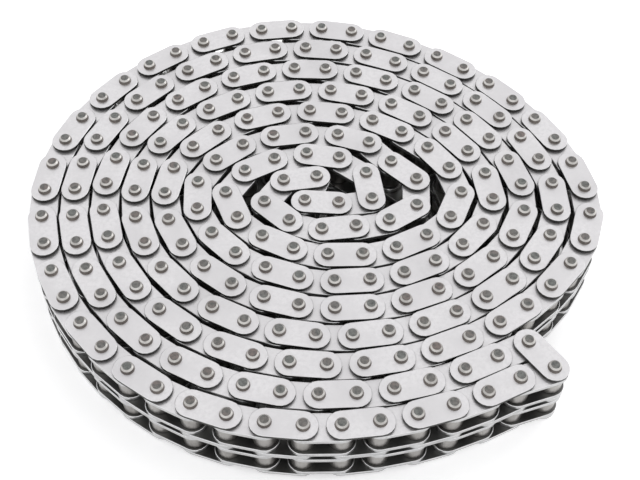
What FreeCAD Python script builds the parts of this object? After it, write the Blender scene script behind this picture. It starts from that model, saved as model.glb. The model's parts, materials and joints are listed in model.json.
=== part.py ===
import FreeCAD, Part
import math
import os

import Sketcher
from FreeCAD import Placement, Rotation, Vector

# Duplex timing chain: an endless two-row roller chain, laid on its side as a coil.
# The loop is doubled up into two strands that lie side by side, and both are wound
# round the bight at the middle until they end at the fold on the outside.
# Millimetres. Z is up, along the pins, and z = 0 is the plane that the pin ends stand on.

doc = FreeCAD.newDocument("timing_chain")

# Driving dimensions

sheet = doc.addObject("Spreadsheet::Sheet", "sizes")
DRIVING = (
    ("chain_pitch", 9.525, "from pin to pin"),
    ("plate_height", 7.8, "width of every link plate, which is the diameter of its round ends"),
    ("outer_plate_thickness", 1.1, "the two plates on the outside of an outer link"),
    ("middle_plate_thickness", 1.7, "the single plate between the rows of an outer link"),
    ("inner_plate_thickness", 1.3, "the four plates of an inner link"),
    ("inner_width", 5.72, "between the plates of an inner link, where the sprocket tooth runs"),
    ("side_play", 0.11, "from an inner plate to the outer or middle plate beside it"),
    ("pin_diameter", 3.28, ""),
    ("pin_end_height", 1.3, "how far a riveted pin end stands out of the outer plate"),
    ("pin_end_chamfer", 0.45, ""),
    ("pin_running_clearance", 0.03, "between the pin and the bush, all round"),
    ("bush_diameter", 4.9, ""),
    ("press_seat", 0.01, "left all round where a pin or bush is pressed into a plate"),
    ("roller_diameter", 6.35, ""),
    ("roller_running_clearance", 0.05, "between the bush and the roller, all round"),
    ("roller_end_play", 0.11, "from each end of a roller to the inner plate"),
    ("turn_gap", 0.82, "added to the plate height to give the width that one strand takes up"),
    ("oval_heading", 86.0, "degrees"),
    ("three_sided", 1.7, "how far the outermost turns lean to a three-sided outline"),
    ("three_sided_heading", 80.0, "degrees"),
    ("four_sided", 0.8, "how far the outermost turns lean to a four-sided outline"),
    ("four_sided_heading", -9.0, "degrees"),
)
for row, (alias, value, note) in enumerate(DRIVING, start=1):
    sheet.set(f"A{row}", alias)
    sheet.set(f"B{row}", str(value))
    sheet.set(f"C{row}", note)
    sheet.setAlias(f"B{row}", alias)

# Sizes that follow from them
#
# The links at the heart of the coil keep their bends, so the heart grows with the pitch.
# heart_radius is the spiral's radius before its first strand, heart_x and heart_y lead
# from the end of the bight to its middle, and oval is how far the coil is drawn out.

FOLLOWING = (
    ("plate_radius", "plate_height / 2"),
    ("strand_width", "plate_height + turn_gap"),
    ("heart_radius", "2.7 * chain_pitch - 2.786 * strand_width"),
    ("heart_x", "0.672 * chain_pitch"),
    ("heart_y", "0.357 * chain_pitch"),
    ("oval", "0.588 * chain_pitch"),
    ("row_gap", "inner_width + 2 * inner_plate_thickness + 2 * side_play"),
    ("bottom_outer_plate_z", "pin_end_height"),
    ("lower_row_z", "bottom_outer_plate_z + outer_plate_thickness"),
    ("middle_plate_z", "lower_row_z + row_gap"),
    ("upper_row_z", "middle_plate_z + middle_plate_thickness"),
    ("top_outer_plate_z", "upper_row_z + row_gap"),
    ("top_pin_end_z", "top_outer_plate_z + outer_plate_thickness"),
    ("chain_width", "top_pin_end_z + pin_end_height"),
    ("pin_hole_diameter", "pin_diameter + 2 * press_seat"),
    ("bush_hole_diameter", "bush_diameter + 2 * press_seat"),
    ("bush_bore", "pin_diameter + 2 * pin_running_clearance"),
    ("bush_length", "inner_width + 2 * inner_plate_thickness"),
    ("roller_bore", "bush_diameter + 2 * roller_running_clearance"),
    ("roller_length", "inner_width - 2 * roller_end_play"),
)
for row, (alias, formula) in enumerate(FOLLOWING, start=len(DRIVING) + 1):
    sheet.set(f"A{row}", alias)
    sheet.set(f"B{row}", "=" + formula)
    sheet.setAlias(f"B{row}", alias)
doc.recompute()


def size(alias):
    """A dimension from the sheet, in mm or degrees."""
    return float(getattr(sheet, alias))


# Forms of the pieces: one body for each kind of piece, bound to the sheet

def new_sketch(body, role):
    """An empty sketch on one of the body's own origin planes."""
    plane = next(item for item in body.Origin.OriginFeatures if item.Role == role)
    sketch = body.newObject("Sketcher::SketchObject", body.Name + "_sketch")
    sketch.AttachmentSupport = [(plane, "")]
    sketch.MapMode = "FlatFace"
    return sketch


def bind(sketch, constraint, formula):
    """Add a dimension to a sketch and tie it to the sheet."""
    index = sketch.addConstraint(constraint)
    name = f"dim{index}"
    sketch.renameConstraint(index, name)
    sketch.setExpression(f"Constraints.{name}", formula)


def pad(body, sketch, length):
    """Extrude a sketch along Z by a length from the sheet."""
    feature = body.newObject("PartDesign::Pad", body.Name + "_pad")
    feature.Profile = sketch
    feature.setExpression("Length", f"sizes.{length}")
    sketch.Visibility = False
    doc.recompute()
    return feature


def plate_form(name, thickness, hole):
    """A link plate: straight flanks, round ends about the two pins, a hole at each pin."""
    body = doc.addObject("PartDesign::Body", name)
    sketch = new_sketch(body, "XY_Plane")
    pitch = size("chain_pitch")
    radius = size("plate_radius")
    far, near, up = Vector(pitch, 0, 0), Vector(0, 0, 0), Vector(0, 0, 1)
    quarter = math.pi / 2
    far_flank = sketch.addGeometry(Part.LineSegment(Vector(0, radius, 0), Vector(pitch, radius, 0)))
    far_end = sketch.addGeometry(Part.ArcOfCircle(Part.Circle(far, up, radius), -quarter, quarter))
    near_flank = sketch.addGeometry(Part.LineSegment(Vector(pitch, -radius, 0), Vector(0, -radius, 0)))
    near_end = sketch.addGeometry(Part.ArcOfCircle(Part.Circle(near, up, radius), quarter, 3 * quarter))
    near_hole = sketch.addGeometry(Part.Circle(near, up, size(hole) / 2))
    far_hole = sketch.addGeometry(Part.Circle(far, up, size(hole) / 2))
    sketch.addConstraint(Sketcher.Constraint("Tangent", far_flank, 2, far_end, 2))
    sketch.addConstraint(Sketcher.Constraint("Tangent", far_end, 1, near_flank, 1))
    sketch.addConstraint(Sketcher.Constraint("Tangent", near_flank, 2, near_end, 2))
    sketch.addConstraint(Sketcher.Constraint("Tangent", near_end, 1, far_flank, 1))
    sketch.addConstraint(Sketcher.Constraint("Equal", far_end, near_end))
    sketch.addConstraint(Sketcher.Constraint("Coincident", near_end, 3, -1, 1))
    sketch.addConstraint(Sketcher.Constraint("PointOnObject", far_end, 3, -1))
    sketch.addConstraint(Sketcher.Constraint("Coincident", near_hole, 3, near_end, 3))
    sketch.addConstraint(Sketcher.Constraint("Coincident", far_hole, 3, far_end, 3))
    sketch.addConstraint(Sketcher.Constraint("Equal", near_hole, far_hole))
    bind(sketch, Sketcher.Constraint("DistanceX", near_end, 3, far_end, 3, pitch), "sizes.chain_pitch")
    bind(sketch, Sketcher.Constraint("Radius", near_end, radius), "sizes.plate_radius")
    bind(sketch, Sketcher.Constraint("Diameter", near_hole, size(hole)), f"sizes.{hole}")
    pad(body, sketch, thickness)
    return body


def round_form(name, diameter, length, bore=None):
    """A cylinder on the Z axis, with a bore right through if one is named."""
    body = doc.addObject("PartDesign::Body", name)
    sketch = new_sketch(body, "XY_Plane")
    for alias in (diameter, bore):
        if alias:
            ring = sketch.addGeometry(Part.Circle(Vector(0, 0, 0), Vector(0, 0, 1), size(alias) / 2))
            sketch.addConstraint(Sketcher.Constraint("Coincident", ring, 3, -1, 1))
            bind(sketch, Sketcher.Constraint("Diameter", ring, size(alias)), f"sizes.{alias}")
    pad(body, sketch, length)
    return body


def pin_form(name):
    """A pin as long as the chain is wide, with the rim of both ends worked to a bevel."""
    body = round_form(name, "pin_diameter", "chain_width")
    shank = body.Tip
    rims = [
        f"Edge{number}"
        for number, edge in enumerate(shank.Shape.Edges, start=1)
        if isinstance(edge.Curve, Part.Circle)
    ]
    bevel = body.newObject("PartDesign::Chamfer", name + "_bevel")
    bevel.Base = (shank, rims)
    bevel.setExpression("Size", "sizes.pin_end_chamfer")
    doc.recompute()
    return body


outer_plate = plate_form("outer_plate", "outer_plate_thickness", "pin_hole_diameter")
middle_plate = plate_form("middle_plate", "middle_plate_thickness", "pin_hole_diameter")
inner_plate = plate_form("inner_plate", "inner_plate_thickness", "bush_hole_diameter")
pin = pin_form("pin")
bush = round_form("bush", "bush_diameter", "bush_length", "bush_bore")
roller = round_form("roller", "roller_diameter", "roller_length", "roller_bore")

# Where the pins stand
#
# A heading is the direction in which a strand runs, in degrees, and keeps counting up as the
# strand winds anticlockwise outwards. Strand 0 starts at one end of the bight link and
# strand 1 at the other, and at any heading strand 1 lies just outside strand 0. The fold is
# made near link 97 of strand 0, where the next pin of strand 1 lies a little further on.

BIGHT_HEADING = 70.0
HEART_HEADINGS = (
    (190, 237, 318, 343, 368, 374, 394, 448, 498),
    (-3, 10, 99, 144, 172, 194),
)
STRAND_LINKS = (97, 123)
FOLD_SEARCH_PAIRS = 4
FOLD_STAGGER = 0.2
FOLD_BEND = 2.0
FULL_SHAPE_WIDTHS = 8.0
SEARCH_STEP = math.radians(2)
HALVINGS = 40


def polar(origin, heading, reach):
    """The point at a heading in degrees and a distance from a point."""
    turn = math.radians(heading)
    return (origin[0] + reach * math.cos(turn), origin[1] + reach * math.sin(turn))


def lobe(count, depth, heading, turn):
    """One wave of the outline and its rate of change with the heading, in radians."""
    phase = count * (turn - math.radians(heading))
    return depth * math.cos(phase), -count * depth * math.sin(phase)


def spiral_point(turn, strand):
    """A strand's centre line where its heading is turn, in radians.

    The turns are parallel curves, one strand width apart. Each is given by how far its
    tangent lies from the heart of the coil.
    """
    widths = turn / math.pi + strand
    reach = size("heart_radius") + size("strand_width") * widths
    slope = size("strand_width") / math.pi
    wave, rate = lobe(2, size("oval"), size("oval_heading"), turn)
    reach += wave
    slope += rate
    share = (widths / FULL_SHAPE_WIDTHS) ** 2
    share_rate = 2 * widths / FULL_SHAPE_WIDTHS**2 / math.pi
    for count, name in ((3, "three_sided"), (4, "four_sided")):
        wave, rate = lobe(count, size(name), size(name + "_heading"), turn)
        reach += share * wave
        slope += share * rate + share_rate * wave
    along_x, along_y = math.cos(turn), math.sin(turn)
    return (
        size("heart_x") + reach * along_y + slope * along_x,
        size("heart_y") - reach * along_x + slope * along_y,
    )


def next_on_spiral(last, turn, strand):
    """The next pin of a strand, one pitch from the last, and the spiral's heading there."""
    pitch = size("chain_pitch")
    near = far = turn
    while math.dist(spiral_point(far, strand), last) < pitch:
        near = far
        far += SEARCH_STEP
    for _ in range(HALVINGS):
        middle = (near + far) / 2
        if math.dist(spiral_point(middle, strand), last) < pitch:
            near = middle
        else:
            far = middle
    return spiral_point(far, strand), far


def wind(start, strand, links):
    """The pins of a strand: bent round the bight by hand, then laid along the spiral."""
    strand_pins = [start]
    for heading in HEART_HEADINGS[strand]:
        strand_pins.append(polar(strand_pins[-1], heading, size("chain_pitch")))

    def stray(turn):
        """How far the last pin lies from the spiral at a turn."""
        return math.dist(spiral_point(turn, strand), strand_pins[-1])

    turn = math.radians(HEART_HEADINGS[strand][-1])
    for step in (SEARCH_STEP, -SEARCH_STEP):
        while stray(turn + step) < stray(turn):
            turn += step
    while len(strand_pins) <= links:
        place, turn = next_on_spiral(strand_pins[-1], turn, strand)
        strand_pins.append(place)
    return strand_pins


def third_corner(first, second, pitch):
    """The point one pitch from two others, on the right of the way from second to first."""
    middle = ((first[0] + second[0]) / 2, (first[1] + second[1]) / 2)
    half = math.dist(first, second) / 2
    height = math.sqrt(pitch**2 - half**2)
    along = ((first[0] - second[0]) / (2 * half), (first[1] - second[1]) / (2 * half))
    return (middle[0] + height * along[1], middle[1] - height * along[0])


def lay_chain():
    """Every pin of the loop, and the number of the pin that the fold link starts at.

    The pins are numbered from the bight out along strand 0 and back in along strand 1.
    Each strand has an odd number of links, so that outer and inner links take turns.
    """
    pitch = size("chain_pitch")
    bight_end = (0.0, 0.0)
    spare_links = 2 * FOLD_SEARCH_PAIRS
    outward = wind(polar(bight_end, BIGHT_HEADING, pitch), 0, STRAND_LINKS[0] + spare_links)
    inward = wind(bight_end, 1, STRAND_LINKS[1] + 2 * spare_links)

    def beside(number):
        """The pin of strand 1 that lies just outside a pin of strand 0."""
        others = range(number + 2, len(inward), 2)
        return min(others, key=lambda other: math.dist(inward[other], outward[number]))

    def misfit(number):
        """How far strand 1 is from the wanted stagger, if strand 0 ends at this pin."""
        before, end = outward[number - 1], outward[number]
        other = inward[beside(number)]
        ahead = (other[0] - end[0]) * (end[0] - before[0]) + (other[1] - end[1]) * (end[1] - before[1])
        return abs(ahead / pitch**2 - FOLD_STAGGER)

    last = min(range(STRAND_LINKS[0] - spare_links, len(outward), 2), key=misfit)
    before, end = outward[last - 1], outward[last]
    last_heading = math.degrees(math.atan2(end[1] - before[1], end[0] - before[0]))
    fold_start = polar(end, last_heading + FOLD_BEND, pitch)
    inward = inward[: beside(last) + 1]
    fold_end = third_corner(fold_start, inward[-1], pitch)
    return outward[: last + 1] + [fold_start, fold_end] + inward[::-1], last + 1


def centred(points):
    """The same points with the middle of their bounds at x = y = 0."""
    xs = [point[0] for point in points]
    ys = [point[1] for point in points]
    shift_x = (min(xs) + max(xs)) / 2
    shift_y = (min(ys) + max(ys)) / 2
    return [(x - shift_x, y - shift_y) for x, y in points]


laid_pins, fold_pin = lay_chain()
pins = centred(laid_pins)
pin_count = len(pins)
print(f"{pin_count} pins, fold link from pin {fold_pin} to pin {fold_pin + 1}")


def link_frame(start, z=0.0):
    """The place of a link: at pin number start, with X along the link to the next pin."""
    here = pins[start % pin_count]
    there = pins[(start + 1) % pin_count]
    heading = math.degrees(math.atan2(there[1] - here[1], there[0] - here[0]))
    return Placement(Vector(here[0], here[1], z), Rotation(Vector(0, 0, 1), heading))


def pin_frame(number, z=0.0):
    """The place of a round piece on a pin's axis."""
    here = pins[number % pin_count]
    return Placement(Vector(here[0], here[1], z), Rotation())


# Heights at which each kind of plate lies, and the two rows of rollers

inner_lift = size("side_play")
second_inner_lift = inner_lift + size("inner_plate_thickness") + size("inner_width")
OUTER_PLATE_LEVELS = (size("bottom_outer_plate_z"), size("top_outer_plate_z"))
ROW_LEVELS = {"lower": size("lower_row_z"), "upper": size("upper_row_z")}
INNER_PLATE_LEVELS = tuple(
    base + lift for base in ROW_LEVELS.values() for lift in (inner_lift, second_inner_lift)
)
BUSH_LEVELS = tuple(base + inner_lift for base in ROW_LEVELS.values())


def add_node(name, placed):
    """A sub-part from copies of forms: (shape, place) pairs, each a solid of its own."""
    solids = []
    for shape, place in placed:
        for solid in shape.Solids:
            copy = solid.copy()
            copy.Placement = place.multiply(solid.Placement)
            solids.append(copy)
    node = doc.addObject("Part::Feature", name)
    node.Label = name
    node.Shape = Part.makeCompound(solids)
    node.Placement = Placement()
    return node


def outer_plates_of(start):
    """The three plates of an outer link, with real holes."""
    placed = [(outer_plate.Shape, link_frame(start, z)) for z in OUTER_PLATE_LEVELS]
    placed.append((middle_plate.Shape, link_frame(start, size("middle_plate_z"))))
    return placed


def pin_end(foot):
    """A riveted end of a pin and its seat in the plate, cut from the whole pin at a height."""
    reach = size("pin_end_height") + size("outer_plate_thickness")
    width = 2 * size("pin_diameter")
    block = Part.makeBox(width, width, reach, Vector(-width / 2, -width / 2, foot))
    return pin.Shape.common(block)


# The free run: the last links of strand 1 before the fold, and the fold link

RUN_LINKS = 12
run_first_pin = fold_pin + RUN_LINKS
nodes = []
for number in range(1, RUN_LINKS + 1):
    outer_pin = run_first_pin - number
    name = f"run_link_{number:02d}"
    if number % 2:
        plates = [(inner_plate.Shape, link_frame(outer_pin, z)) for z in INNER_PLATE_LEVELS]
        nodes.append(add_node(name + "_plates", plates))
        both_ends = (outer_pin + 1, outer_pin)
        bushes = [(bush.Shape, pin_frame(end, z)) for end in both_ends for z in BUSH_LEVELS]
        nodes.append(add_node(name + "_bushes", bushes))
        seat = inner_lift + size("inner_plate_thickness") + size("roller_end_play")
        for row, base in ROW_LEVELS.items():
            for side, end in zip(("near", "far"), both_ends):
                place = pin_frame(end, base + seat)
                nodes.append(add_node(f"{name}_{row}_{side}_roller", [(roller.Shape, place)]))
    else:
        nodes.append(add_node(name + "_plates", outer_plates_of(outer_pin)))
        ends = [(pin.Shape, pin_frame(outer_pin + 1))]
        if number < RUN_LINKS:
            ends.append((pin.Shape, pin_frame(outer_pin)))
        else:
            # the loop is opened at the fold link's other pin: its two ends are there, its shank isn't
            ends.append((pin_end(0), pin_frame(outer_pin)))
            ends.append((pin_end(size("top_outer_plate_z")), pin_frame(outer_pin)))
        nodes.append(add_node(name + "_pins", ends))

# The coil: every other link, held by the turns beside it
#
# There are hundreds of these, so they are drawn with few faces: a plate's round end and a
# round piece have flat facets, and at a locked joint the pin, bush and roller are one solid.

OUTER_END_FACETS = 6
INNER_END_FACETS = 4
ROUND_FACETS = 8


def facet_points(centre_x, radius, start_angle, sweep, facets):
    """Corners on an arc about a point of the X axis."""
    corners = []
    for corner in range(facets + 1):
        angle = math.radians(start_angle + sweep * corner / facets)
        corners.append(Vector(centre_x + radius * math.cos(angle), radius * math.sin(angle), 0))
    return corners


def prism(corners, height):
    """A flat-sided solid on a closed outline."""
    face = Part.Face(Part.makePolygon(corners + corners[:1]))
    return face.extrude(Vector(0, 0, height))


def locked_plate(thickness, facets):
    """A link plate with faceted ends, and no holes, because what is pressed in fills them."""
    near = facet_points(0, size("plate_radius"), 90, 180, facets)
    far = facet_points(size("chain_pitch"), size("plate_radius"), -90, 180, facets)
    return prism(near + far, thickness)


def locked_round(diameter, height):
    """A round piece with flat sides."""
    return prism(facet_points(0, diameter / 2, 0, 360, ROUND_FACETS)[:-1], height)


run = range(fold_pin, run_first_pin)
outer_starts = [start for start in range(0, pin_count, 2) if start not in run]
inner_starts = [start for start in range(1, pin_count, 2) if start not in run]
locked_outer = locked_plate(size("outer_plate_thickness"), OUTER_END_FACETS)
locked_middle = locked_plate(size("middle_plate_thickness"), INNER_END_FACETS)
locked_inner = locked_plate(size("inner_plate_thickness"), INNER_END_FACETS)
locked_roller = locked_round(size("roller_diameter"), size("inner_width"))
locked_pin_end = locked_round(size("pin_diameter"), size("pin_end_height"))
roller_levels = [base + inner_lift + size("inner_plate_thickness") for base in ROW_LEVELS.values()]

nodes.append(add_node(
    "coil_outer_plates",
    [(locked_outer, link_frame(start, z)) for start in outer_starts for z in OUTER_PLATE_LEVELS],
))
nodes.append(add_node(
    "coil_middle_plates",
    [(locked_middle, link_frame(start, size("middle_plate_z"))) for start in outer_starts],
))
nodes.append(add_node(
    "coil_inner_plates",
    [(locked_inner, link_frame(start, z)) for start in inner_starts for z in INNER_PLATE_LEVELS],
))
nodes.append(add_node(
    "coil_rollers",
    [
        (locked_roller, pin_frame(end, z))
        for start in inner_starts
        for end in (start, start + 1)
        for z in roller_levels
    ],
))
nodes.append(add_node(
    "coil_pin_ends",
    [
        (locked_pin_end, pin_frame(end, z))
        for start in outer_starts
        for end in (start, start + 1)
        for z in (0, size("top_pin_end_z"))
    ],
))

# The pin that the free run hangs on: its shank crosses both rows between the plates
anchor_length = size("row_gap")
anchor = Part.makeCylinder(size("pin_diameter") / 2, anchor_length)
nodes.append(add_node(
    "anchor_pin",
    [(anchor, pin_frame(run_first_pin, base)) for base in ROW_LEVELS.values()],
))

# Check and write

doc.recompute()
for item in doc.Objects:
    if any(word in item.State for word in ("Invalid", "Error")):
        raise RuntimeError(f"{item.Name} failed")
os.makedirs("parts", exist_ok=True)
for node in nodes:
    if node.Shape.isNull() or not node.Shape.isValid():
        raise RuntimeError(f"{node.Label} has no valid shape")
    node.Shape.exportStep(f"parts/{node.Label}.step")
print(f"{len(nodes)} nodes, {sum(len(node.Shape.Solids) for node in nodes)} solids")
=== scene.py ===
# %% [markdown]
# # A duplex timing chain, coiled on its side
#
# The frame holds the chain as it was engineered: which plates, pins, bushes and rollers
# there are, where they lie and which of them turn. Hundreds of its links are drawn there
# with few faces. This script gives every piece the worked edges of the real one, the
# satin and ground steel that a chain is made of, and a plain studio to stand in.
#
# The frame is loaded first.

# %%
# Load the frame
import json
import math

import bmesh
import bpy
from mathutils import Matrix, Vector


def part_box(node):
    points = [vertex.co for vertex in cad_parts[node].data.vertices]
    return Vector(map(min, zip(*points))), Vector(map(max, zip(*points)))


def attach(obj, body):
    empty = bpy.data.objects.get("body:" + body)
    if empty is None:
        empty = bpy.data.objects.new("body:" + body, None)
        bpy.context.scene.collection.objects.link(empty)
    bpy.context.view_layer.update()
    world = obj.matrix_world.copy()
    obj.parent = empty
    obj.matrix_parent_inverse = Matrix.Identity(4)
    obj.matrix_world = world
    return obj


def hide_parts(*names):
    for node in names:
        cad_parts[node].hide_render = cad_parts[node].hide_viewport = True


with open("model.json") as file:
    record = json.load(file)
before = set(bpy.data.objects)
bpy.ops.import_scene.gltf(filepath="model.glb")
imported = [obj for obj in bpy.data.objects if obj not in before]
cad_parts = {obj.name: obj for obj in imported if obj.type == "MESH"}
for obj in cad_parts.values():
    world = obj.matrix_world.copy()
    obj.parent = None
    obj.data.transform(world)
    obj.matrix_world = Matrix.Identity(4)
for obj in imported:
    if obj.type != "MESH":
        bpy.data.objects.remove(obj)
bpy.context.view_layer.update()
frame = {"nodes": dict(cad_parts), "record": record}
scene = bpy.context.scene
MM = 0.001

# %% [markdown]
# ## Camera
#
# The camera comes first, because every later choice is judged through it. The photograph
# shows more than two hundred pins that stand a known pitch apart, so the camera's place
# could be worked out from them: it looks down steeply from about 34 cm away, is turned
# about a degree to the side, and leans a little off level. The picture's width and the
# lens give the scale.

# %%
# Camera at the photograph's place

CAMERA_PLACE = Vector((-2.6, -199.2, 272.2)) * MM
TURNED = math.radians(1.11)
LOOK_DOWN = math.radians(53.4)
LEAN = math.radians(1.9)
FOCAL_LENGTH = 63.97
NEAREST_SEEN = 0.01

forward = Vector((
    math.sin(TURNED) * math.cos(LOOK_DOWN),
    math.cos(TURNED) * math.cos(LOOK_DOWN),
    -math.sin(LOOK_DOWN),
))
level_right = Vector((math.cos(TURNED), -math.sin(TURNED), 0))
level_up = level_right.cross(forward)
leaning_right = level_right * math.cos(LEAN) + level_up * math.sin(LEAN)
leaning_up = level_up * math.cos(LEAN) - level_right * math.sin(LEAN)

lens = bpy.data.cameras.new("camera")
lens.lens = FOCAL_LENGTH
lens.clip_start = NEAREST_SEEN
camera = bpy.data.objects.new("camera", lens)
facing = Matrix((leaning_right, leaning_up, -forward)).transposed().to_4x4()
camera.matrix_world = Matrix.Translation(CAMERA_PLACE) @ facing
scene.collection.objects.link(camera)
scene.camera = camera
scene.view_settings.view_transform = "Standard"
print("camera stands", round(CAMERA_PLACE.length / MM), "mm from the chain's middle")

# %% [markdown]
# ## Where each piece lies
#
# A node such as the coil's outer plates is one mesh with a couple of hundred separate
# solids in it. To put a better plate where each one lies, the script merges a copy of the
# mesh, walks from corner to corner to find what hangs together, and measures each solid:
# its middle, its bottom and top, and for a plate the heading of its long side.
# The places could be typed in again instead, but read from the frame they stay right
# when the chain changes.

# %%
# Split a node into its solids

TOUCHING = 0.002 * MM


def solids_of(node):
    """The points of each separate solid in a CAD node."""
    merged = bmesh.new()
    merged.from_mesh(frame["nodes"][node].data)
    bmesh.ops.remove_doubles(merged, verts=merged.verts[:], dist=TOUCHING)
    seen = set()
    solids = []
    for start in merged.verts:
        if start in seen:
            continue
        seen.add(start)
        reached = [start]
        for vert in reached:
            for edge in vert.link_edges:
                other = edge.other_vert(vert)
                if other not in seen:
                    seen.add(other)
                    reached.append(other)
        solids.append([vert.co.copy() for vert in reached])
    merged.free()
    return solids


print(len(solids_of("coil_outer_plates")), "outer plates in the coil")

# %%
# Measure a solid


def heights_of(points):
    """Lowest and highest point of a solid."""
    return min(point.z for point in points), max(point.z for point in points)


def height_of(points):
    """How high a solid is."""
    low, high = heights_of(points)
    return high - low


def middle_of(points):
    """The middle of a solid's bounds, seen from above."""
    xs = [point.x for point in points]
    ys = [point.y for point in points]
    return Vector(((min(xs) + max(xs)) / 2, (min(ys) + max(ys)) / 2, 0))


def heading_of(points):
    """The way a plate's long side points, from how its outline is spread."""
    middle = middle_of(points)
    offsets = [point.xy - middle.xy for point in points]
    along_x = sum(offset.x * offset.x for offset in offsets)
    along_y = sum(offset.y * offset.y for offset in offsets)
    across = sum(offset.x * offset.y for offset in offsets)
    return math.atan2(2 * across, along_x - along_y) / 2


def reach_along(points, heading):
    """How long a solid is in a direction, in metres."""
    middle = middle_of(points)
    way = Vector((math.cos(heading), math.sin(heading)))
    return 2 * max((point.xy - middle.xy).dot(way) for point in points)


# %% [markdown]
# ## Sizes of the pieces
#
# One link of the free run gives the sizes: its roller, bush and pin give their own
# diameters, and a plate's length less its height is the pitch, because both of its
# round ends are centred on a pin.

# %%
# Read the sizes from the free run

one_roller = solids_of("run_link_01_upper_near_roller")[0]
one_bush = solids_of("run_link_01_bushes")[0]
one_pin = solids_of("run_link_02_pins")[0]
one_plate = solids_of("run_link_01_plates")[0]
plate_heading = heading_of(one_plate)
roller_radius = reach_along(one_roller, 0) / 2
bush_radius = reach_along(one_bush, 0) / 2
pin_radius = reach_along(one_pin, 0) / 2
plate_height = reach_along(one_plate, plate_heading + math.pi / 2)
pitch = reach_along(one_plate, plate_heading) - plate_height
roller_height = height_of(one_roller)
inner_thickness = height_of(one_plate)
pin_bottom, pin_top = heights_of(one_pin)
pin_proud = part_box("coil_outer_plates")[0][2] - pin_bottom
print(f"pitch {pitch / MM:.3f} mm, plate height {plate_height / MM:.2f} mm")
print(f"roller radius {roller_radius / MM:.3f} mm, pin radius {pin_radius / MM:.3f} mm")
print(f"a pin stands {pin_proud / MM:.2f} mm out of its plate")

# %% [markdown]
# ## A link plate
#
# The real plate is stamped from strip and tumbled. Its faces are satin, and its rims are
# rounded and rubbed bright, which draws the thin line round every link. Its wall is
# burnished steel. On the plates on top, the wall and the lower rim are painted near-black
# instead: painted shade, for the dark band of shadow along their near edges. A disc that
# is split and drawn apart would give the outline too, but it is easier to start from a
# rectangle and to bevel its corners by half the plate's height, until the ends are round.
# The outline is extruded, and both rims are bevelled. A plate has only a few dozen faces,
# because the chain needs hundreds of it.
#
# A side that faces the rollers gets a darker steel than the sides that face outwards.
# That darkness is painted shade, to keep the gaps between the plates dark.
#
# A plate can have one open hole, for a bush. A boolean cut would make it too, but a flat
# outline with a circle in it can be filled and extruded just as well, and stays clean.

# %%
# Tools for upright pieces

# How far up a face points: level faces are past FLAT, and standing ones are below UPRIGHT.
FLAT = 0.98
UPRIGHT = 0.1
SAME_SLOPE = 0.1
UNIT_SQUARE = 0.5  # half a side, as create_grid takes it
ROLLER_SEGMENTS = 20


def raise_outline(shape, height):
    """Extrude a flat outline upwards into a solid."""
    raised = bmesh.ops.extrude_face_region(shape, geom=shape.faces[:])
    top = [item for item in raised["geom"] if isinstance(item, bmesh.types.BMVert)]
    bmesh.ops.translate(shape, verts=top, vec=(0, 0, height))
    bmesh.ops.recalc_face_normals(shape, faces=shape.faces[:])


def bevel_rims(shape, width):
    """Round every edge that runs round the top or the bottom of an upright piece."""
    rims = [
        edge
        for edge in shape.edges
        if sum(abs(face.normal.z) > FLAT for face in edge.link_faces) == 1
    ]
    bmesh.ops.bevel(
        shape,
        geom=rims,
        offset=width,
        segments=1,
        affect="EDGES",
        profile=0.5,
        material=-1,
    )
    shape.normal_update()


def as_mesh(shape, name):
    """Finish a shape: smooth round its sides, and crisp where the slope changes."""
    bmesh.ops.recalc_face_normals(shape, faces=shape.faces[:])
    for face in shape.faces:
        face.smooth = True
    for edge in shape.edges:
        slopes = [face.normal.z for face in edge.link_faces]
        edge.smooth = max(slopes) - min(slopes) < SAME_SLOPE
    mesh = bpy.data.meshes.new(name)
    shape.to_mesh(mesh)
    shape.free()
    return mesh


# %%
# Shape one plate

CORNER_STEPS = 5
PLATE_EDGE = 0.12 * MM
# Two of these steels are painted shade: the one for sides that face the rollers, and the
# one for the walls of the plates on top.
PLATE_FACE, PLATE_RUBBED, PLATE_SHADED_WALL, PLATE_BURNISHED, PLATE_SHADED_FACE = 0, 1, 2, 3, 4


def cut_hole(outline):
    """Fill a flat outline again, with a bush's hole at its far end."""
    bmesh.ops.delete(outline, geom=outline.faces[:], context="FACES_ONLY")
    hole_place = Matrix.Translation((pitch / 2, 0, 0))
    bmesh.ops.create_circle(
        outline, segments=ROLLER_SEGMENTS, radius=bush_radius, matrix=hole_place
    )
    bmesh.ops.triangle_fill(outline, edges=outline.edges[:], use_beauty=True)


def plate_outline():
    """A flat oblong with round ends and its middle at the origin."""
    outline = bmesh.new()
    oblong = Matrix.Diagonal((pitch + plate_height, plate_height, 1, 1))
    bmesh.ops.create_grid(
        outline, x_segments=1, y_segments=1, size=UNIT_SQUARE, matrix=oblong
    )
    bmesh.ops.bevel(
        outline,
        geom=outline.verts[:],
        offset=plate_height / 2,
        segments=CORNER_STEPS,
        affect="VERTICES",
        profile=0.5,
        material=-1,
    )
    bmesh.ops.remove_doubles(outline, verts=outline.verts[:], dist=TOUCHING)
    return outline


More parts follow.
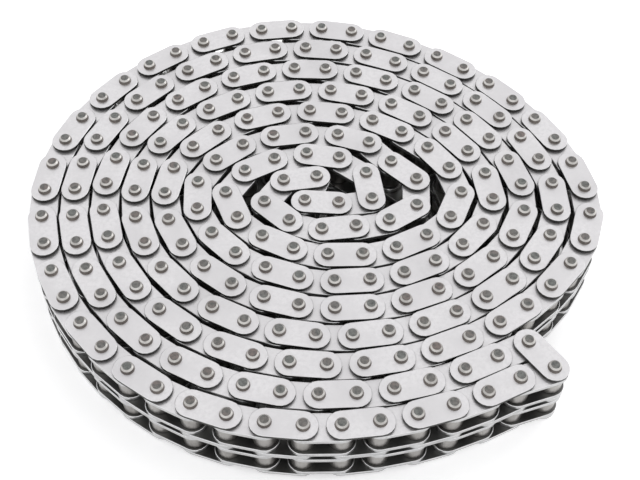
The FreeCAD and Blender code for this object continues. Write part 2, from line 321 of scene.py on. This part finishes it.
def plate_shape(thickness, unshaded_above, unshaded_below, shaded_wall, holed):
    """A plate with its underside at z = 0, and a steel for each of its sides."""
    shape = plate_outline()
    if holed:
        cut_hole(shape)
    raise_outline(shape, thickness)
    bevel_rims(shape, PLATE_EDGE)
    for face in shape.faces:
        # Walls are near-black painted shade on the plates on top, and burnished steel on
        # the others.
        if abs(face.normal.z) < UPRIGHT:
            face.material_index = PLATE_SHADED_WALL if shaded_wall else PLATE_BURNISHED
        elif abs(face.normal.z) < FLAT:
            # A downward rim on a plate on top is painted shade as well, which widens the
            # dark band below it.
            shaded_rim = shaded_wall and face.normal.z < 0
            face.material_index = PLATE_SHADED_WALL if shaded_rim else PLATE_RUBBED
        else:
            # A side that faces the rollers gets the dark steel, as painted shade for the
            # gaps between the plates.
            clean = unshaded_above if face.normal.z > 0 else unshaded_below
            face.material_index = PLATE_FACE if clean else PLATE_SHADED_FACE
    return as_mesh(shape, "plate form")


trial_plate = plate_shape(
    inner_thickness, unshaded_above=True, unshaded_below=False, shaded_wall=False, holed=False
)
plate_length = max(vert.co.x for vert in trial_plate.vertices) * 2
print("a plate has", len(trial_plate.polygons), "faces")
print("and is", round(plate_length / MM, 2), "mm long")

# %% [markdown]
# ## Rollers
#
# A roller is a short tube, ground smooth outside, that turns on its bush. Seen from the
# side only its outer wall shows, so it starts as a disc, is extruded upwards and gets a
# small bevel at both rims.
#
# The frame opens the endless loop at one pin. When the run swings off, the coil's last
# link lies bare there and shows its bushes, pressed into the plates and open at both ends.
# At that joint the roller and the bush are real tubes: an upright rectangle, spun round.

# %%
# Shape one roller

ROLLER_EDGE = 0.25 * MM


def upright_disc(radius, segments, height):
    """A cylinder with its foot at z = 0."""
    shape = bmesh.new()
    bmesh.ops.create_circle(shape, cap_ends=True, segments=segments, radius=radius)
    raise_outline(shape, height)
    return shape


def roller_shape(height):
    """A roller with its foot at z = 0."""
    shape = upright_disc(roller_radius, ROLLER_SEGMENTS, height)
    bevel_rims(shape, ROLLER_EDGE)
    return as_mesh(shape, "roller form")


print("a roller has", len(roller_shape(roller_height).polygons), "faces")

# %%
# Shape an open roller and its bush

BORE_RADIUS = pin_radius + 0.03 * MM
BUSH_SUNK = 0.06 * MM
BUSH_EDGE = 0.12 * MM
BUSH_STEEL = 1


def tube(outer, inner, height):
    """An open tube with its foot at z = 0."""
    shape = bmesh.new()
    middle = Matrix.Translation(((outer + inner) / 2, 0, height / 2))
    upright = Matrix.Rotation(math.pi / 2, 4, "X")
    wall = Matrix.Diagonal((outer - inner, height, 1, 1))
    place = middle @ upright @ wall
    bmesh.ops.create_grid(
        shape, x_segments=1, y_segments=1, size=UNIT_SQUARE, matrix=place
    )
    bmesh.ops.delete(shape, geom=shape.faces[:], context="FACES_ONLY")
    bmesh.ops.spin(
        shape,
        geom=shape.verts[:] + shape.edges[:],
        cent=(0, 0, 0),
        axis=(0, 0, 1),
        angle=2 * math.pi,
        steps=ROLLER_SEGMENTS,
        use_merge=True,
    )
    shape.normal_update()
    return shape


def open_roller_shape(height):
    """A roller with a bore that its bush fits."""
    shape = tube(roller_radius, bush_radius, height)
    bevel_rims(shape, ROLLER_EDGE)
    return as_mesh(shape, "open roller form")


def bush_shape(height):
    """A bush that reaches through both plates of its link."""
    shape = tube(bush_radius, BORE_RADIUS, height)
    bevel_rims(shape, BUSH_EDGE)
    for face in shape.faces:
        face.material_index = BUSH_STEEL
    return as_mesh(shape, "bush form")


print("a bush has", len(bush_shape(roller_height).polygons), "faces")

# %% [markdown]
# ## Pins
#
# After a pin is pressed through the plates, its ends are spun over to keep them there.
# That leaves a swollen side, browned by the heat, a bright bevel round the rim and a dull
# flat face, and each of them has its own steel. The end starts as a cone with its tip cut
# off, and its top face is extruded once more and drawn in, which makes the bevel. A lathe
# profile that is spun would do the same, with more numbers to keep.

# %%
# Shape one pin end and one shank

PIN_SEGMENTS = 16
FOOT_RADIUS = pin_radius + 0.24 * MM
SHOULDER_RADIUS = pin_radius - 0.02 * MM
PIN_FACE_RADIUS = pin_radius - 0.46 * MM
RIM_RISE = 0.42 * MM
PIN_SIDE, PIN_RIM, PIN_FACE = 0, 1, 2


def step_up(shape, rise, share):
    """Extrude the top face of a closed shape upwards and draw it in."""
    top_face = max(shape.faces, key=lambda face: face.calc_center_median().z)
    raised = bmesh.ops.extrude_discrete_faces(shape, faces=[top_face])["faces"]
    bmesh.ops.scale(shape, verts=raised[0].verts, vec=(share, share, 1))
    bmesh.ops.translate(shape, verts=raised[0].verts, vec=(0, 0, rise))
    shape.normal_update()


def pin_end_shape(height):
    """A riveted pin end that stands on the plate at z = 0."""
    side_height = height - RIM_RISE
    shape = bmesh.new()
    bmesh.ops.create_cone(
        shape,
        cap_ends=True,
        segments=PIN_SEGMENTS,
        radius1=FOOT_RADIUS,
        radius2=SHOULDER_RADIUS,
        depth=side_height,
        matrix=Matrix.Translation((0, 0, side_height / 2)),
    )
    step_up(shape, RIM_RISE, PIN_FACE_RADIUS / SHOULDER_RADIUS)
    for face in shape.faces:
        if abs(face.normal.z) > FLAT:
            face.material_index = PIN_FACE
        elif face.calc_center_median().z > side_height:
            face.material_index = PIN_RIM
        else:
            face.material_index = PIN_SIDE
    return as_mesh(shape, "pin end form")


def shank_shape(height):
    """The plain middle of a pin, with its foot at z = 0."""
    return as_mesh(upright_disc(pin_radius, PIN_SEGMENTS, height), "shank form")


print("a pin end has", len(pin_end_shape(pin_proud).polygons), "faces")

# %% [markdown]
# ## Placing the copies
#
# Each node becomes one mesh of copies, so that it can ride on its body and stand for the
# node. Separate objects that share one mesh would be lighter, but each would need its
# own name and its own place. The copies are turned and moved inside the mesh, and the
# object itself stays at the world's origin.

# %%
# Work out where the copies go

CLOSE = 0.3 * MM
TO_A_MICRON = 6
rollers_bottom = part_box("coil_rollers")[0][2]
rollers_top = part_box("coil_rollers")[1][2]
fold_pins = solids_of("run_link_12_pins")
loose_end = min(fold_pins, key=height_of)
opened_at = middle_of(loose_end)
print("the loop is open at", [round(value / MM, 1) for value in opened_at.xy], "mm")


def plate_places(node):
    """A plate form and its place for each plate of a node."""
    placed = []
    forms = {}
    for points in solids_of(node):
        low, high = heights_of(points)
        # Which sides face the rollers, and so get painted shade.
        unshaded_above = low > rollers_top - CLOSE
        unshaded_below = high < rollers_bottom + CLOSE
        # The plates on top get painted shade on their walls.
        shaded_wall = high > pin_top - pin_proud - CLOSE
        middle = middle_of(points)
        heading = heading_of(points)
        to_opening = opened_at - middle
        reaches_opening = abs(to_opening.length - pitch / 2) < CLOSE
        holed = reaches_opening and node == "coil_inner_plates"
        if holed:
            heading = math.atan2(to_opening.y, to_opening.x)
        thickness = round(high - low, TO_A_MICRON)
        kind = (thickness, unshaded_above, unshaded_below, shaded_wall, holed)
        if kind not in forms:
            forms[kind] = plate_shape(*kind)
        place = Matrix.Translation((middle.x, middle.y, low))
        turn = Matrix.Rotation(heading, 4, "Z")
        placed.append((forms[kind], place @ turn))
    return placed


def roller_places(node, end_play=0.0):
    """A roller form and its place for each roller of a node, with play at both ends."""
    placed = []
    form = None
    for points in solids_of(node):
        low, high = heights_of(points)
        if form is None:
            form = roller_shape(high - low - 2 * end_play)
            open_form = open_roller_shape(high - low - 2 * end_play)
            bush_reach = inner_thickness - BUSH_SUNK
            bush_form = bush_shape(high - low + 2 * bush_reach)
        middle = middle_of(points)
        place = Matrix.Translation((middle.x, middle.y, low + end_play))
        if (middle - opened_at).length < CLOSE:
            bush_place = Matrix.Translation((middle.x, middle.y, low - bush_reach))
            placed.append((open_form, place))
            placed.append((bush_form, bush_place))
        else:
            placed.append((form, place))
    return placed


def pin_places(node):
    """Riveted ends and shanks, with their places, for each pin or pin end of a node."""
    end = pin_end_shape(pin_proud)
    shank = shank_shape(pin_top - pin_bottom - 2 * pin_proud)
    shank_foot = pin_bottom + pin_proud
    shank_top = pin_top - pin_proud
    upside_down = Matrix.Rotation(math.pi, 4, "X")
    placed = []
    for points in solids_of(node):
        low, high = heights_of(points)
        x, y, _ = middle_of(points)
        at_bottom = low < pin_bottom + pin_proud / 2
        at_top = high > pin_top - pin_proud / 2
        if at_bottom:
            placed.append((end, Matrix.Translation((x, y, shank_foot)) @ upside_down))
        if at_top:
            placed.append((end, Matrix.Translation((x, y, shank_top))))
        if at_bottom and at_top:
            placed.append((shank, Matrix.Translation((x, y, shank_foot))))
    return placed


# %%
# Build a node's piece from copies


def place_copies(name, placed, materials):
    """One object from forms and their places."""
    made = bmesh.new()
    for form, place in placed:
        first = len(made.verts)
        made.from_mesh(form)
        made.verts.ensure_lookup_table()
        bmesh.ops.transform(made, matrix=place, verts=made.verts[first:])
    mesh = bpy.data.meshes.new(name)
    made.to_mesh(mesh)
    made.free()
    for material in materials:
        mesh.materials.append(material)
    piece = bpy.data.objects.new(name, mesh)
    scene.collection.objects.link(piece)
    return piece


def stand_in(node, body, placed, materials):
    """The piece that stands for a node."""
    piece = place_copies("made_" + node, placed, materials)
    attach(piece, body)
    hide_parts(node)
    return piece


# %% [markdown]
# ## Steel
#
# All the pieces are steel, and most of what tells them apart is how they were finished.
# Tumbled plates are satin, with a faint cloudiness and edges that are rubbed bright. Two
# dark plate steels are painted shade instead: one for sides that face the rollers, and one
# for the walls of the plates on top. Rollers are ground and shine more. A pin is dark on
# its side, rubbed at its rim and dull on its face, with a brown tint on a few. One node
# group gives the cloudiness, with its own scale in each material, so the steels stay a
# family. Where a finish has fine specks as well, the same group is laid a second time.

# %%
# The cloudiness that all the steels share

CLOUD_DETAIL = 7.0
CLOUD_ROUGHNESS = 0.6
CLOUDS_BEGIN = 0.42
CLOUDS_ARE_FULL = 0.66

cloud_group = bpy.data.node_groups.new("steel cloud", "ShaderNodeTree")
for socket_name, kind, way in (
    ("Clean", "NodeSocketColor", "INPUT"),
    ("Clouded", "NodeSocketColor", "INPUT"),
    ("Scale", "NodeSocketFloat", "INPUT"),
    ("Colour", "NodeSocketColor", "OUTPUT"),
    ("Mask", "NodeSocketFloat", "OUTPUT"),
):
    cloud_group.interface.new_socket(socket_name, in_out=way, socket_type=kind)
group_nodes = cloud_group.nodes
group_in = group_nodes.new("NodeGroupInput")
group_out = group_nodes.new("NodeGroupOutput")
place_on_steel = group_nodes.new("ShaderNodeTexCoord")
cloud = group_nodes.new("ShaderNodeTexNoise")
cloud.inputs["Detail"].default_value = CLOUD_DETAIL
cloud.inputs["Roughness"].default_value = CLOUD_ROUGHNESS
spread = group_nodes.new("ShaderNodeMapRange")
spread.inputs["From Min"].default_value = CLOUDS_BEGIN
spread.inputs["From Max"].default_value = CLOUDS_ARE_FULL
mix = group_nodes.new("ShaderNodeMix")
mix.data_type = "RGBA"
mix_clean, mix_clouded = (socket for socket in mix.inputs if socket.type == "RGBA")
mix_colour = next(socket for socket in mix.outputs if socket.type == "RGBA")
join = cloud_group.links.new
join(place_on_steel.outputs["Object"], cloud.inputs["Vector"])
join(group_in.outputs["Scale"], cloud.inputs["Scale"])
join(cloud.outputs["Fac"], spread.inputs["Value"])
join(spread.outputs["Result"], mix.inputs["Factor"])
join(group_in.outputs["Clean"], mix_clean)
join(group_in.outputs["Clouded"], mix_clouded)
join(mix_colour, group_out.inputs["Colour"])
join(spread.outputs["Result"], group_out.inputs["Mask"])

# %%
# One material for each finish

GRAIN_DETAIL = 2.0


def steel(name, clean, clouded, cloud_scale, metallic, roughness):
    """A steel whose colour drifts between two tones."""
    material = bpy.data.materials.new(name)
    material.use_nodes = True
    nodes = material.node_tree.nodes
    shader = nodes["Principled BSDF"]
    shader.inputs["Metallic"].default_value = metallic
    shader.inputs["Roughness"].default_value = roughness
    clouding = nodes.new("ShaderNodeGroup")
    clouding.name = "clouding"
    clouding.node_tree = cloud_group
    clouding.inputs["Clean"].default_value = (*clean, 1)
    clouding.inputs["Clouded"].default_value = (*clouded, 1)
    clouding.inputs["Scale"].default_value = cloud_scale
    link = material.node_tree.links.new
    link(clouding.outputs["Colour"], shader.inputs["Base Color"])
    return material


def add_specks(material, speck, speck_scale):
    """Lay a second, finer clouding over the first."""
    nodes = material.node_tree.nodes
    link = material.node_tree.links.new
    specks = nodes.new("ShaderNodeGroup")
    specks.node_tree = cloud_group
    specks.inputs["Clouded"].default_value = (*speck, 1)
    specks.inputs["Scale"].default_value = speck_scale
    link(nodes["clouding"].outputs["Colour"], specks.inputs["Clean"])
    link(specks.outputs["Colour"], nodes["Principled BSDF"].inputs["Base Color"])


def add_grain(material, depth, scale):
    """A fine bump, as tumbling or spinning leaves it."""
    nodes = material.node_tree.nodes
    link = material.node_tree.links.new
    place = nodes.new("ShaderNodeTexCoord")
    grain = nodes.new("ShaderNodeTexNoise")
    grain.inputs["Scale"].default_value = scale
    grain.inputs["Detail"].default_value = GRAIN_DETAIL
    bump = nodes.new("ShaderNodeBump")
    bump.inputs["Distance"].default_value = depth
    link(place.outputs["Object"], grain.inputs["Vector"])
    link(grain.outputs["Fac"], bump.inputs["Height"])
    link(bump.outputs["Normal"], nodes["Principled BSDF"].inputs["Normal"])


def roughen(material, smooth, rough):
    """Let the roughness follow the clouds."""
    nodes = material.node_tree.nodes
    link = material.node_tree.links.new
    follow = nodes.new("ShaderNodeMapRange")
    follow.inputs["To Min"].default_value = smooth
    follow.inputs["To Max"].default_value = rough
    link(nodes["clouding"].outputs["Mask"], follow.inputs["Value"])
    link(follow.outputs["Result"], nodes["Principled BSDF"].inputs["Roughness"])


plate_steel = steel(
    "tumbled plate steel",
    clean=(0.79, 0.776, 0.79),
    clouded=(0.675, 0.662, 0.675),
    cloud_scale=60,
    metallic=0.85,
    roughness=0.40,
)
add_specks(plate_steel, speck=(0.715, 0.702, 0.715), speck_scale=900)
add_grain(plate_steel, depth=0.004 * MM, scale=4500)
roughen(plate_steel, smooth=0.31, rough=0.40)
rubbed_steel = steel(
    "rubbed edge steel",
    clean=(0.82, 0.82, 0.83),
    clouded=(0.68, 0.68, 0.69),
    cloud_scale=260,
    metallic=0.90,
    roughness=0.36,
)
# Painted shade: a near-black steel for the walls and lower rims of the plates on top,
# standing in for the shadow along their near edges.
shaded_wall_steel = steel(
    "painted shade wall steel",
    clean=(0.05, 0.048, 0.045),
    clouded=(0.03, 0.028, 0.026),
    cloud_scale=300,
    metallic=0.60,
    roughness=0.50,
)
burnished_steel = steel(
    "burnished wall steel",
    clean=(0.58, 0.58, 0.58),
    clouded=(0.46, 0.46, 0.46),
    cloud_scale=300,
    metallic=0.90,
    roughness=0.30,
)
# Painted shade: a dark steel for plate sides that face the rollers, to darken the gaps
# between the plates.
shaded_face_steel = steel(
    "painted shade plate steel",
    clean=(0.17, 0.17, 0.165),
    clouded=(0.11, 0.108, 0.105),
    cloud_scale=120,
    metallic=0.80,
    roughness=0.34,
)
roller_steel = steel(
    "ground roller steel",
    clean=(0.39, 0.378, 0.362),
    clouded=(0.30, 0.288, 0.275),
    cloud_scale=150,
    metallic=1.00,
    roughness=0.36,
)
roughen(roller_steel, smooth=0.31, rough=0.41)
bush_steel = steel(
    "bush steel",
    clean=(0.40, 0.40, 0.40),
    clouded=(0.32, 0.32, 0.32),
    cloud_scale=150,
    metallic=1.00,
    roughness=0.30,
)
pin_side_steel = steel(
    "pin side steel",
    clean=(0.21, 0.19, 0.172),
    clouded=(0.13, 0.115, 0.105),
    cloud_scale=400,
    metallic=0.85,
    roughness=0.36,
)
pin_rim_steel = steel(
    "pin rim steel",
    clean=(0.64, 0.622, 0.60),
    clouded=(0.44, 0.427, 0.41),
    cloud_scale=420,
    metallic=0.95,
    roughness=0.34,
)
pin_face_steel = steel(
    "pin face steel",
    clean=(0.20, 0.205, 0.195),
    clouded=(0.22, 0.18, 0.168),
    cloud_scale=95,
    metallic=0.35,
    roughness=0.46,
)
add_specks(pin_face_steel, speck=(0.10, 0.105, 0.10), speck_scale=1100)
add_grain(pin_face_steel, depth=0.05 * MM, scale=1400)
print(len(bpy.data.materials), "materials with the frame's own")

# %% [markdown]
# ## The coil
#
# The locked turns ride on the coil's own body. The frame's rollers fill the space between
# the plates, so here they are made a little shorter, as the real ones are, which leaves
# the dark line at each end of a roller.

# %%
# Coil plates, rollers and pin ends

ROLLER_END_PLAY = 0.11 * MM
PLATE_STEELS = [plate_steel, rubbed_steel, shaded_wall_steel, burnished_steel, shaded_face_steel]
ROLLER_STEELS = [roller_steel, bush_steel]
PIN_STEELS = [pin_side_steel, pin_rim_steel, pin_face_steel]

for node in ("coil_outer_plates", "coil_middle_plates", "coil_inner_plates"):
    stand_in(node, "coil", plate_places(node), PLATE_STEELS)
coil_rollers = roller_places("coil_rollers", ROLLER_END_PLAY)
stand_in("coil_rollers", "coil", coil_rollers, ROLLER_STEELS)
stand_in("coil_pin_ends", "coil", pin_places("coil_pin_ends"), PIN_STEELS)
print(len(coil_rollers), "rollers in the coil")

# %% [markdown]
# ## The free run
#
# The outermost links can swing, so each is a body of its own, and each roller turns on
# its bush. Their plates, pins and rollers are made in the same way as the coil's, node by
# node, so that every copy rides on the body that it belongs to. The bushes and the pin
# that the run hangs on lie hidden inside the rollers, so they keep their own solids and
# get steel.

# %%
# Free links, one after another


def give_steel(node, material):
    """Dress a CAD node that keeps its shape."""
    mesh = frame["nodes"][node].data
    mesh.materials.clear()
    mesh.materials.append(material)


groups = frame["record"]["behaviour"]["bodies"]
for body, members in groups.items():
    if body == "coil":
        continue
    for node in members:
        if node.endswith("_plates"):
            stand_in(node, body, plate_places(node), PLATE_STEELS)
        elif node.endswith("_pins"):
            stand_in(node, body, pin_places(node), PIN_STEELS)
        elif node.endswith("_roller"):
            stand_in(node, body, roller_places(node), [roller_steel])
        else:
            give_steel(node, bush_steel)
give_steel("anchor_pin", pin_side_steel)
print(len(groups) - 1, "moving bodies dressed")

# %% [markdown]
# ## Floor
#
# The chain was photographed on pure white with hardly any shadow. More light would bleach
# the steel, so the floor instead glows a little by itself, but only towards the camera
# and in reflections. Its own white paint still catches the chain's soft shadow. Under the
# chain the glow fades out, or the gaps between the turns would be lit from below.

# %%
# White floor

FLOOR_REACH = 3.0
FLOOR_WHITE = (0.9, 0.9, 0.9, 1)
FLOOR_ROUGHNESS = 0.9
FLOOR_GLOW = 0.45
FLOOR_GAP = 0.03 * MM
GLOW_STARTS = 58 * MM
GLOW_IS_FULL = 76 * MM

floor_shape = bmesh.new()
floor_level = Matrix.Translation((0, 0, -FLOOR_GAP))
bmesh.ops.create_grid(
    floor_shape, x_segments=1, y_segments=1, size=FLOOR_REACH, matrix=floor_level
)
floor_mesh = bpy.data.meshes.new("floor")
floor_shape.to_mesh(floor_mesh)
floor_shape.free()
floor = bpy.data.objects.new("floor", floor_mesh)
scene.collection.objects.link(floor)

floor_paint = bpy.data.materials.new("white floor")
floor_paint.use_nodes = True
floor_nodes = floor_paint.node_tree.nodes
floor_shader = floor_nodes["Principled BSDF"]
floor_shader.inputs["Base Color"].default_value = FLOOR_WHITE
floor_shader.inputs["Roughness"].default_value = FLOOR_ROUGHNESS
floor_shader.inputs["Emission Color"].default_value = (1, 1, 1, 1)


def seen_directly(tree):
    """1 for what the camera sees, also in a mirror or through glass, and 0 otherwise."""
    rays = tree.nodes.new("ShaderNodeLightPath")
    total = rays.outputs["Is Camera Ray"]
    for kind in ("Is Glossy Ray", "Is Transmission Ray"):
        either = tree.nodes.new("ShaderNodeMath")
        either.operation = "MAXIMUM"
        tree.links.new(total, either.inputs[0])
        tree.links.new(rays.outputs[kind], either.inputs[1])
        total = either.outputs["Value"]
    return total


floor_link = floor_paint.node_tree.links.new
floor_place = floor_nodes.new("ShaderNodeTexCoord")
from_middle = floor_nodes.new("ShaderNodeVectorMath")
from_middle.operation = "LENGTH"
fade = floor_nodes.new("ShaderNodeMapRange")
fade.inputs["From Min"].default_value = GLOW_STARTS
fade.inputs["From Max"].default_value = GLOW_IS_FULL
fade.inputs["To Max"].default_value = FLOOR_GLOW
glow = floor_nodes.new("ShaderNodeMath")
glow.operation = "MULTIPLY"
floor_link(floor_place.outputs["Object"], from_middle.inputs[0])
floor_link(from_middle.outputs["Value"], fade.inputs["Value"])
floor_link(seen_directly(floor_paint.node_tree), glow.inputs[0])
floor_link(fade.outputs["Result"], glow.inputs[1])
floor_link(glow.outputs["Value"], floor_shader.inputs["Emission Strength"])
floor_mesh.materials.append(floor_paint)

# %% [markdown]
# ## Light
#
# Bare steel shows what is round it. The camera, and the steel in its reflections, see
# plain white all round, as in the photograph. What lights the dull parts is a dome that is
# bright over the back right of the table and dimmer low down and on the camera's side. One
# broad lamp at the back right puts the dark line along the front left of every plate.

# %%
# Dome of soft light

LIGHT_WAY = Vector((0.28, 0.6, 0.75)).normalized()
DOME_STRENGTH = 1.12

# The dome's tones, from the side away from the light up to the light itself.
AWAY_TONE = (0.42, 0.42, 0.43, 1)
DIM_TONE = (0.62, 0.62, 0.63, 1)
DIM_AT = 0.34
BRIGHT_TONE = (0.88, 0.88, 0.885, 1)
BRIGHT_AT = 0.64
FULL_TONE = (1.0, 1.0, 1.0, 1)

world = bpy.data.worlds.new("soft dome")
scene.world = world
world.use_nodes = True
sky = world.node_tree
sky.nodes.clear()
direction = sky.nodes.new("ShaderNodeTexCoord")
towards_light = sky.nodes.new("ShaderNodeVectorMath")
towards_light.operation = "DOT_PRODUCT"
towards_light.inputs[1].default_value = LIGHT_WAY
dome = sky.nodes.new("ShaderNodeValToRGB")
tones = dome.color_ramp.elements
tones[0].color = AWAY_TONE
tones[1].color = FULL_TONE
tones.new(DIM_AT).color = DIM_TONE
tones.new(BRIGHT_AT).color = BRIGHT_TONE
dome_light = sky.nodes.new("ShaderNodeBackground")
dome_light.inputs["Strength"].default_value = DOME_STRENGTH
white_behind = sky.nodes.new("ShaderNodeBackground")
chooser = sky.nodes.new("ShaderNodeMixShader")
sky_out = sky.nodes.new("ShaderNodeOutputWorld")
white_behind.inputs["Color"].default_value = (1, 1, 1, 1)
sky.links.new(direction.outputs["Generated"], towards_light.inputs[0])
sky.links.new(towards_light.outputs["Value"], dome.inputs["Fac"])
sky.links.new(dome.outputs["Color"], dome_light.inputs["Color"])
sky.links.new(seen_directly(sky), chooser.inputs["Fac"])
sky.links.new(dome_light.outputs["Background"], chooser.inputs[1])
sky.links.new(white_behind.outputs["Background"], chooser.inputs[2])
sky.links.new(chooser.outputs["Shader"], sky_out.inputs["Surface"])

# %%
# One broad lamp at the back right

LAMP_WAY = Vector((0.78, 0.45, 0.5)).normalized()
LAMP_DISTANCE = 0.9
LAMP_SIZE = 0.5
LAMP_POWER = 0.8

lamp = bpy.data.lights.new("soft box", "AREA")
lamp.shape = "SQUARE"
lamp.size = LAMP_SIZE
lamp.energy = LAMP_POWER
soft_box = bpy.data.objects.new("soft box", lamp)
soft_box.location = LAMP_WAY * LAMP_DISTANCE
soft_box.rotation_euler = LAMP_WAY.to_track_quat("Z", "Y").to_euler()
scene.collection.objects.link(soft_box)
print("lamp at", [round(value, 2) for value in soft_box.location])
